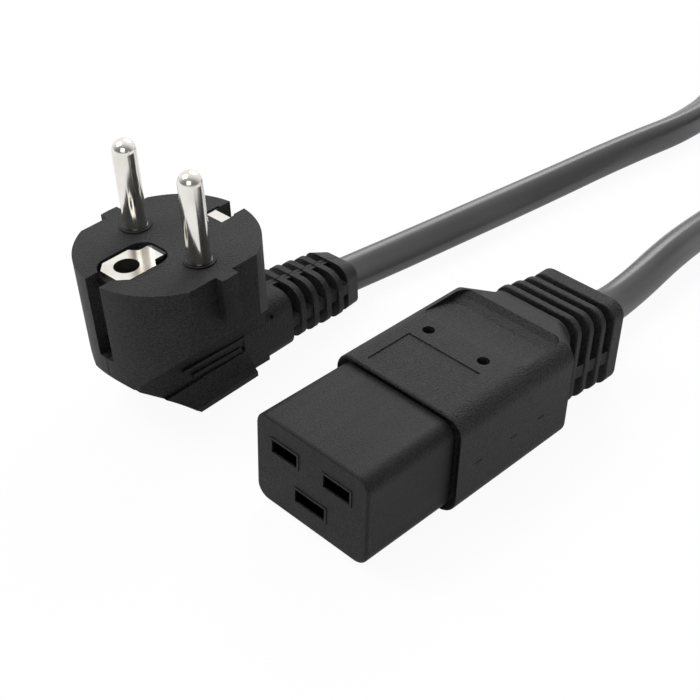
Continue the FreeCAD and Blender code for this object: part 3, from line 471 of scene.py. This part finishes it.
NICKEL, NICKEL_WORN = (0.88, 0.86, 0.81, 1), (0.78, 0.75, 0.69, 1)
BRASS, BRASS_WORN = (0.80, 0.68, 0.42, 1), (0.66, 0.53, 0.30, 1)
BROWN, BLUE = (0.16, 0.07, 0.03, 1), (0.02, 0.10, 0.38, 1)
GREEN, YELLOW = (0.05, 0.30, 0.06, 1), (0.72, 0.62, 0.04, 1)
FINISHES = {
    "overmould": moulded_plastic("overmould", mould_marks),
    "plug_overmould": moulded_plastic("plug_overmould", parting_line),
    "nose": smooth_plastic("nose_plastic"),
    "nickel": bright_metal("nickel", NICKEL, NICKEL_WORN, 0.15),
    "contact_metal": bright_metal("contact_brass", BRASS, BRASS_WORN, 0.34),
    "copper": copper_strands(),
    "wire_brown": wire_sheath("wire_brown", BROWN),
    "wire_blue": wire_sheath("wire_blue", BLUE),
    "wire_green": wire_sheath("wire_green", GREEN, YELLOW),
    "cable": cable_sheath(),
    "strap": woven_strap(),
}
slot_of = {entry["node"]: entry["material_slot"] for entry in frame["record"]["subparts"]}
for name, item in frame["nodes"].items():
    finish = "plug_overmould" if name == "plug_body" else slot_of[name]
    item.data.materials.clear()
    item.data.materials.append(FINISHES[finish])


# Camera, as fitted to the photograph

CAMERA_PLACE = Vector((-0.159652, -0.153404, 0.173917))
CAMERA_YAW = math.radians(46.614)
CAMERA_DOWN = math.radians(36.580)
CAMERA_ROLL = math.radians(-1.736)
FOCAL_PIXELS = 1358.727
PHOTO_PIXELS = 700
SENSOR = 36.0
NEAREST_SEEN = 0.01


def add_camera():
    look = Vector((
        math.sin(CAMERA_YAW) * math.cos(CAMERA_DOWN), math.cos(CAMERA_YAW) * math.cos(CAMERA_DOWN),
        -math.sin(CAMERA_DOWN),
    ))
    right = Vector((math.cos(CAMERA_YAW), -math.sin(CAMERA_YAW), 0.0))
    down = look.cross(right)
    turned_right = right * math.cos(CAMERA_ROLL) + down * math.sin(CAMERA_ROLL)
    turned_down = down * math.cos(CAMERA_ROLL) - right * math.sin(CAMERA_ROLL)
    lens = bpy.data.cameras.new("camera")
    lens.sensor_width = SENSOR
    lens.lens = FOCAL_PIXELS / PHOTO_PIXELS * SENSOR
    lens.clip_start = NEAREST_SEEN
    camera = bpy.data.objects.new("camera", lens)
    bpy.context.collection.objects.link(camera)
    axes = Matrix((turned_right, -turned_down, -look)).transposed()
    camera.matrix_world = Matrix.Translation(CAMERA_PLACE) @ axes.to_4x4()
    bpy.context.scene.camera = camera


add_camera()


# Cable route, in millimetres in the row frame

CABLE_D = 8.1
LOBE_RISE = 0.42
FLOOR_Z = CABLE_D / 2 + LOBE_RISE
TOP_Z = FLOOR_Z + CABLE_D
COIL_PLACE = Vector((235.30, -9.70, 0.0))
TURN_RADII = (50.10, 42.0, 33.90)
PLUG_HEADING = math.radians(24.0)
SOCKET_HEADING = math.radians(-35.0)
POINTS_A_TURN = 16
FULL_TURN = 2 * math.pi
TURNS_BELOW, TURNS_ABOVE = 3, 2
INWARD_STEPS = 2.0
TURN_KEPT = 0.5
CLIMB = math.pi / 2
OUTWARD_SPREAD = 2.2
STRAP_TURN = math.radians(10.0)
STRAP_THICK = 0.70
STRAP_LIFT_WIDE = math.radians(24.0)

PLUG_EXIT = [(12.35, 24.83, 4.60), (32.70, 23.20, 4.20)]
PLUG_ROUTE = [(53.30, 21.10), (87.30, 18.30), (122.65, 15.80), (147.65, 12.30), (170.15, 14.90)]
SOCKET_EXIT = [
    (31.93, -26.69, 11.264), (45.50, -26.40, 10.40), (54.00, -25.70, 6.20), (68.00, -24.50, 5.70),
    (86.00, -22.80, 6.80), (103.00, -21.50, 5.70),
]
SOCKET_ROUTE = [(119.00, -20.90), (137.65, -19.90), (161.65, -24.80)]


def coil_point(angle, radius, z):
    """A point of the coil. The turns lie a little higher where the strap passes under them."""
    aside = (angle - STRAP_TURN + math.pi) % FULL_TURN - math.pi
    lift = STRAP_THICK * math.exp(-((aside / STRAP_LIFT_WIDE) ** 2))
    return COIL_PLACE + Vector((radius * math.cos(angle), radius * math.sin(angle), z + lift))


def coil_turns():
    """Clockwise from above: inwards on the table, up, and outwards on top of the first layer."""
    start = PLUG_HEADING + math.pi / 2
    finish = SOCKET_HEADING - math.pi / 2
    below = TURNS_BELOW * FULL_TURN
    above = TURNS_ABOVE * FULL_TURN + (start - finish) % FULL_TURN
    outer, middle, inner = TURN_RADII
    step = outer - middle
    points = []
    count = round(POINTS_A_TURN * (below + above) / FULL_TURN)
    for k in range(count + 1):
        turned = (below + above) * k / count
        if turned < below:
            radius = outer - step * max(0.0, min(INWARD_STEPS, turned / FULL_TURN - TURN_KEPT))
            rise = max(0.0, min(1.0, (turned - below + CLIMB) / CLIMB))
        else:
            radius = inner + step * min(INWARD_STEPS, (turned - below) / above * OUTWARD_SPREAD)
            rise = 1.0
        points.append(coil_point(start - turned, radius, FLOOR_Z + (TOP_Z - FLOOR_Z) * rise))
    return points


def cable_points():
    points = [Vector(place) for place in PLUG_EXIT]
    points += [Vector((x, y, FLOOR_Z)) for x, y in PLUG_ROUTE]
    points += coil_turns()
    points += [Vector((x, y, FLOOR_Z)) for x, y in reversed(SOCKET_ROUTE)]
    points += [Vector(place) for place in reversed(SOCKET_EXIT)]
    return [point * MM for point in points]


STEPS_BETWEEN_POINTS = 10
SPLINE_ORDER = 3


def route_curve(points):
    """The cable's middle line: a smooth spline with the route's points as control points."""
    curve = bpy.data.curves.new("cable_line", "CURVE")
    curve.dimensions = "3D"
    curve.resolution_u = STEPS_BETWEEN_POINTS
    spline = curve.splines.new("NURBS")
    spline.points.add(len(points) - 1)
    for made, place in zip(spline.points, points):
        made.co = (*place, 1.0)
    spline.order_u = SPLINE_ORDER
    spline.use_endpoint_u = True
    item = bpy.data.objects.new("cable_line", curve)
    bpy.context.collection.objects.link(item)
    bpy.context.view_layer.update()
    return item


def followed_points(item):
    """Points along the spline itself."""
    mesh = bpy.data.meshes.new_from_object(item.evaluated_get(bpy.context.evaluated_depsgraph_get()))
    followed = [vertex.co.copy() for vertex in mesh.vertices]
    bpy.data.meshes.remove(mesh)
    return followed


def add_object(name, mesh, *materials):
    item = bpy.data.objects.new(name, mesh)
    bpy.context.collection.objects.link(item)
    for material in materials:
        mesh.materials.append(material)
    return item


CABLE_SIZES = {
    "Radius": CABLE_D / 2 * MM, "Lobe": LOBE_RISE / CABLE_D * 2, "Lay": 900.0 * MM, "Step": 2.2 * MM,
    "Around": 36, "Sheath": FINISHES["cable"],
}
CORES = 3.0


def cable_recipe():
    """A sheath drawn over three twisted cores, which show through as slow shallow lobes."""
    recipe = Recipe("cable_recipe", CABLE_SIZES)
    run = recipe.node(
        "GeometryNodeResampleCurve", {"mode": "LENGTH"},
        {"Curve": recipe.input("Geometry"), "Length": recipe.input("Step")},
    )
    travelled = recipe.node("GeometryNodeSplineParameter", output=1)
    run = recipe.node(
        "GeometryNodeSetCurveTilt", {},
        {"Curve": run, "Tilt": travelled / recipe.input("Lay") * FULL_TURN},
    )
    run = recipe.node(
        "GeometryNodeStoreNamedAttribute", {"data_type": "FLOAT", "domain": "POINT"},
        {"Geometry": run, "Name": "along", "Value": travelled},
    )
    ring = recipe.node(
        "GeometryNodeCurvePrimitiveCircle", {"mode": "RADIUS"},
        {"Resolution": recipe.input("Around"), "Radius": recipe.input("Radius")},
    )
    turned = recipe.node("GeometryNodeSplineParameter") * FULL_TURN
    wave = (turned * CORES).cosine() * recipe.input("Lobe")
    place = recipe.node("GeometryNodeInputPosition")
    moved = recipe.node("ShaderNodeVectorMath", {"operation": "SCALE"}, {"Vector": place, "Scale": wave})
    ring = recipe.node("GeometryNodeSetPosition", {}, {"Geometry": ring, "Offset": moved})
    ring = recipe.node(
        "GeometryNodeStoreNamedAttribute", {"data_type": "FLOAT_VECTOR", "domain": "POINT"},
        {"Geometry": ring, "Name": "around", "Value": recipe.vector(turned.cosine(), turned.sine(), 0.0)},
    )
    skin = recipe.node(
        "GeometryNodeCurveToMesh", {}, {"Curve": run, "Profile Curve": ring, "Fill Caps": True}
    )
    skin = recipe.node("GeometryNodeSetShadeSmooth", {}, {"Geometry": skin})
    return recipe, skin


cable_line = route_curve(cable_points())
line = followed_points(cable_line)
recipe, skin = cable_recipe()
cable = add_object("cable", recipe.run(cable_line, skin, recipe.input("Sheath")))
bpy.data.objects.remove(cable_line)
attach(cable, "root")
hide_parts("cable_plug", "cable_socket", "cable_coil")


# Strap that ties the coil: a woven band with cross ribs, lapped over its own end

STRAP_WIDE = 7.0
STRAP_HALF = 12.35
STRAP_SLACK = 0.35
STRAP_FOOT, STRAP_HEAD = 0.05, TOP_Z + CABLE_D / 2 + STRAP_THICK + STRAP_SLACK
STRAP_CORNER = 3.9
STRAP_STEP = math.radians(15.0)
LAP_FROM, LAP_LONG = 4.0, 15.0
LAP_RISE = ((1.5, -0.1), (3.0, 0.0))
RIB_PITCH = 0.95
RIB_SIDES = 8
RIB_INSET = 1.1
SAME_PLACE = 0.01 * MM
STRAP_SIZES = {
    "Thickness": STRAP_THICK * MM, "Rib Radius": 0.16 * MM, "Rib Length": (STRAP_WIDE - RIB_INSET) * MM,
    "Rib Turn": (math.pi / 2, 0.0, STRAP_TURN), "Weave": FINISHES["strap"],
}


def strap_corner(aside, high, start):
    """Points of one rounded corner, in the plane across the turns."""
    steps = round(math.pi / 2 / STRAP_STEP)
    angles = [start + math.pi / 2 * k / steps for k in range(steps + 1)]
    return [(aside + STRAP_CORNER * math.cos(a), high + STRAP_CORNER * math.sin(a)) for a in angles]


def strap_line():
    """The band's inner line: once round the turns, then a lap raised over its own start."""
    right, head = STRAP_HALF - STRAP_CORNER, STRAP_HEAD - STRAP_CORNER
    foot = STRAP_FOOT + STRAP_THICK + STRAP_CORNER
    line = [(right - LAP_FROM, STRAP_HEAD)]
    for aside, high, quarter in ((-right, head, 1), (-right, foot, 2), (right, foot, 3), (right, head, 0)):
        line += strap_corner(aside, high, quarter * math.pi / 2)
    over = STRAP_HEAD + STRAP_THICK
    line += [(right - back, over + rise) for back, rise in LAP_RISE]
    line.append((right - LAP_LONG, over))
    return evened(line, RIB_PITCH)


def evened(line, pitch):
    """Points an even distance apart along a line of straight runs."""
    far = [0.0]
    for (x0, z0), (x1, z1) in zip(line, line[1:]):
        far.append(far[-1] + math.hypot(x1 - x0, z1 - z0))
    points, k = [], 0
    for n in range(int(far[-1] / pitch) + 1):
        while far[k + 1] < n * pitch:
            k += 1
        part = (n * pitch - far[k]) / (far[k + 1] - far[k])
        points.append(tuple(a + (b - a) * part for a, b in zip(line[k], line[k + 1])))
    return points


def strap_ribbon():
    """The inner face of the band: one strip of faces, a rib's pitch long each."""
    outward = Vector((math.cos(STRAP_TURN), math.sin(STRAP_TURN), 0.0))
    side = Vector((-math.sin(STRAP_TURN), math.cos(STRAP_TURN), 0.0)) * (STRAP_WIDE / 2)
    middle = COIL_PLACE + outward * TURN_RADII[1]
    bm = bmesh.new()
    pairs = []
    for aside, high in strap_line():
        place = middle + outward * aside + Vector((0, 0, high))
        pairs.append([bm.verts.new((place + side * sign) * MM) for sign in (-1, 1)])
    for (a, b), (c, d) in zip(pairs, pairs[1:]):
        bm.faces.new((a, b, d, c))
    mesh = bpy.data.meshes.new("coil_strap")
    bm.to_mesh(mesh)
    bm.free()
    return mesh


def strap_recipe():
    """Gives the strip its thickness, and lays a rib across it at each step."""
    recipe = Recipe("strap_recipe", STRAP_SIZES)
    strip = recipe.input("Geometry")
    band = recipe.node(
        "GeometryNodeExtrudeMesh", {"mode": "FACES"},
        {"Mesh": strip, "Offset Scale": recipe.input("Thickness"), "Individual": False},
    )
    under = recipe.node("GeometryNodeFlipFaces", {}, {"Mesh": strip})
    solid = recipe.node("GeometryNodeJoinGeometry")
    recipe.links.new(under.value, solid.value.node.inputs[0])
    recipe.links.new(band.value, solid.value.node.inputs[0])
    closed = recipe.node("GeometryNodeMergeByDistance", {}, {"Geometry": solid, "Distance": SAME_PLACE})
    start = recipe.node("GeometryNodeInputMeshEdgeVertices", output=2)
    end = recipe.node("GeometryNodeInputMeshEdgeVertices", output=3)
    gap = recipe.node("ShaderNodeVectorMath", {"operation": "DISTANCE"}, {0: start, 1: end}, output=1)
    crosswise = 1 - gap.below(recipe.input("Rib Length"))
    spots = recipe.node(
        "GeometryNodeMeshToPoints", {"mode": "EDGES"}, {"Mesh": strip, "Selection": crosswise}
    )
    rib = recipe.node(
        "GeometryNodeMeshCylinder", {},
        {"Vertices": RIB_SIDES, "Radius": recipe.input("Rib Radius"), "Depth": recipe.input("Rib Length")},
    )
    ribs = recipe.node(
        "GeometryNodeInstanceOnPoints", {},
        {"Points": spots, "Instance": rib, "Rotation": recipe.input("Rib Turn")},
    )
    whole = recipe.node("GeometryNodeJoinGeometry")
    recipe.links.new(closed.value, whole.value.node.inputs[0])
    recipe.links.new(ribs.value, whole.value.node.inputs[0])
    return recipe, whole


recipe, whole = strap_recipe()
ribbon = add_object("strap_ribbon", strap_ribbon())
strap = add_object("coil_strap", recipe.run(ribbon, whole, recipe.input("Weave")))
bpy.data.objects.remove(ribbon)
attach(strap, "root")
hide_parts("coil_tie")


# Two forms of the overmould that the solids lack, each spanned between pairs of outlines

def spanned_form(name, finish, pairs):
    """A closed piece for each pair of outlines: both ends, and a wall from each side to the next."""
    bm = bmesh.new()
    for pair in pairs:
        near, away = [[bm.verts.new(place * MM) for place in outline] for outline in pair]
        bm.faces.new(near)
        bm.faces.new(away)
        for k in range(len(near)):
            follow = (k + 1) % len(near)
            bm.faces.new((near[k], near[follow], away[follow], away[k]))
    bmesh.ops.recalc_face_normals(bm, faces=bm.faces)
    mesh = bpy.data.meshes.new(name)
    bm.to_mesh(mesh)
    bm.free()
    piece = add_object(name, mesh, FINISHES[finish])
    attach(piece, "root")
    return piece


FLARE_HALF, FLARE_FOOT, FLARE_HEAD = 10.0, -33.75, -28.0
FLARE_SWEEP_Y, FLARE_SWEEP_R, FLARE_INNER = 13.9, 6.1, 6.5
FLARE_STEPS = 12
FLARE_END = -4.75
SLOPE_X, SLOPE_Z, SLOPE = -17.5, -22.3, 0.898


def flare_section():
    """Across the plug: the hollow sweep of the flare, then its foot and its inner side."""
    low = math.acos((FLARE_SWEEP_Y - FLARE_HALF) / FLARE_SWEEP_R)
    section = []
    for k in range(FLARE_STEPS + 1):
        angle = low * k / FLARE_STEPS
        y = FLARE_SWEEP_Y - FLARE_SWEEP_R * math.cos(angle)
        section.append((y, FLARE_HEAD - FLARE_SWEEP_R * math.sin(angle)))
    return section + [(FLARE_HALF, FLARE_FOOT), (FLARE_INNER, FLARE_FOOT), (FLARE_INNER, FLARE_HEAD)]


def flare_pair(side):
    """The flare's end, and the same outline where the slope of the plug's back cuts it off."""
    near, away = [], []
    for y, z in flare_section():
        cut = SLOPE_X + (SLOPE_Z - z) / SLOPE
        near.append(PLUG_PLACE + plug_turn @ Vector((FLARE_END, y * side, z)))
        away.append(PLUG_PLACE + plug_turn @ Vector((cut, y * side, z)))
    return near, away


spanned_form("plug_lip_run", "plug_overmould", [flare_pair(side) for side in (-1, 1)])

# The web joins the rings of the connector's strain relief, on the side away from the plug
WEB_X = (60.6, 74.0)
WEB_INNER = -5.5
WEB_OUTER = (-10.22, -11.8146)
WEB_Z = (7.2, 10.2)


def web_outline(z):
    plan = [(WEB_X[0], WEB_INNER), (WEB_X[1], WEB_INNER), (WEB_X[1], WEB_OUTER[1]), (WEB_X[0], WEB_OUTER[0])]
    return [CONNECTOR_PLACE + Vector((x, y, z)) for x, y in plan]


relief_web = spanned_form("relief_web", "overmould", [[web_outline(z) for z in WEB_Z]])


# Room: pale floor, soft light, and what bright metal mirrors

FLOOR_HALF = 4.0
FLOOR_SEEN = 0.92
FLOOR_GLOW = 1.015
FLOOR_MIRRORED = 0.50
FLOOR_PALE = (0.86, 0.86, 0.86, 1)
WHITE = (1, 1, 1, 1)
LIGHT_ALL_ROUND = 0.34
MIRRORED_NEAR, MIRRORED_FAR = 0.22, 1.0
FAR_SIDE = Vector((0.62, 0.62, 0.48))
FAR_EDGES = (-0.35, 0.75)
# Each lamp's place, width and power
LAMPS = {
    "key": ((-0.35, 0.45, 0.85), 0.55, 4.9),
    "fill": ((-0.75, -0.60, 0.55), 0.70, 2.3),
    "rim": ((0.65, 0.35, 0.60), 0.50, 3.4),
}


def seen_rays(graph):
    """Two masks: what the camera sees straight on, and what is seen mirrored."""
    path = graph.nodes.new("ShaderNodeLightPath")
    return [Wire(graph, path.outputs[name]) for name in ("Is Camera Ray", "Is Glossy Ray")]


def add_floor():
    bm = bmesh.new()
    corners = [(-1, -1), (1, -1), (1, 1), (-1, 1)]
    bm.faces.new([bm.verts.new((x * FLOOR_HALF, y * FLOOR_HALF, 0.0)) for x, y in corners])
    mesh = bpy.data.meshes.new("floor")
    bm.to_mesh(mesh)
    bm.free()
    tree = Tree("floor")
    shade = tree.node("ShaderNodeBsdfDiffuse", {}, {"Color": FLOOR_PALE})
    glow = tree.node("ShaderNodeEmission", {}, {"Color": WHITE, "Strength": FLOOR_GLOW})
    camera_ray, glossy_ray = seen_rays(tree)
    share = camera_ray * FLOOR_SEEN + glossy_ray * FLOOR_MIRRORED
    mixed = tree.node("ShaderNodeMixShader", {}, {0: share, 1: shade, 2: glow})
    tree.node("ShaderNodeOutputMaterial", {}, {0: mixed})
    add_object("floor", mesh, tree.material)


def add_lamp(name, place, size, power):
    lamp = bpy.data.lights.new(name, "AREA")
    lamp.shape = "SQUARE"
    lamp.size = size
    lamp.energy = power
    item = bpy.data.objects.new(name, lamp)
    bpy.context.collection.objects.link(item)
    item.location = place
    item.rotation_euler = (-Vector(place)).to_track_quat("-Z", "Y").to_euler()


def add_world():
    """White to the camera, a plain light all round, and a bright far side for reflections."""
    world = bpy.data.worlds.new("world")
    world.use_nodes = True
    graph = Graph(world.node_tree)
    x, y, z = graph.parts(graph.node("ShaderNodeTexCoord"))
    facing = (x * FAR_SIDE.x + y * FAR_SIDE.y + z * FAR_SIDE.z).smooth(*FAR_EDGES)
    mirrored = facing * (MIRRORED_FAR - MIRRORED_NEAR) + MIRRORED_NEAR
    camera_ray, glossy_ray = seen_rays(graph)
    plain = LIGHT_ALL_ROUND * (1 - glossy_ray) + mirrored * glossy_ray
    strength = plain * (1 - camera_ray) + camera_ray
    shade = graph.node("ShaderNodeBackground", {}, {"Color": WHITE, "Strength": strength})
    graph.node("ShaderNodeOutputWorld", {}, {0: shade})
    bpy.context.scene.world = world


add_floor()
for name, (place, size, power) in LAMPS.items():
    add_lamp(name, place, size, power)
add_world()
bpy.context.scene.view_settings.view_transform = "Standard"
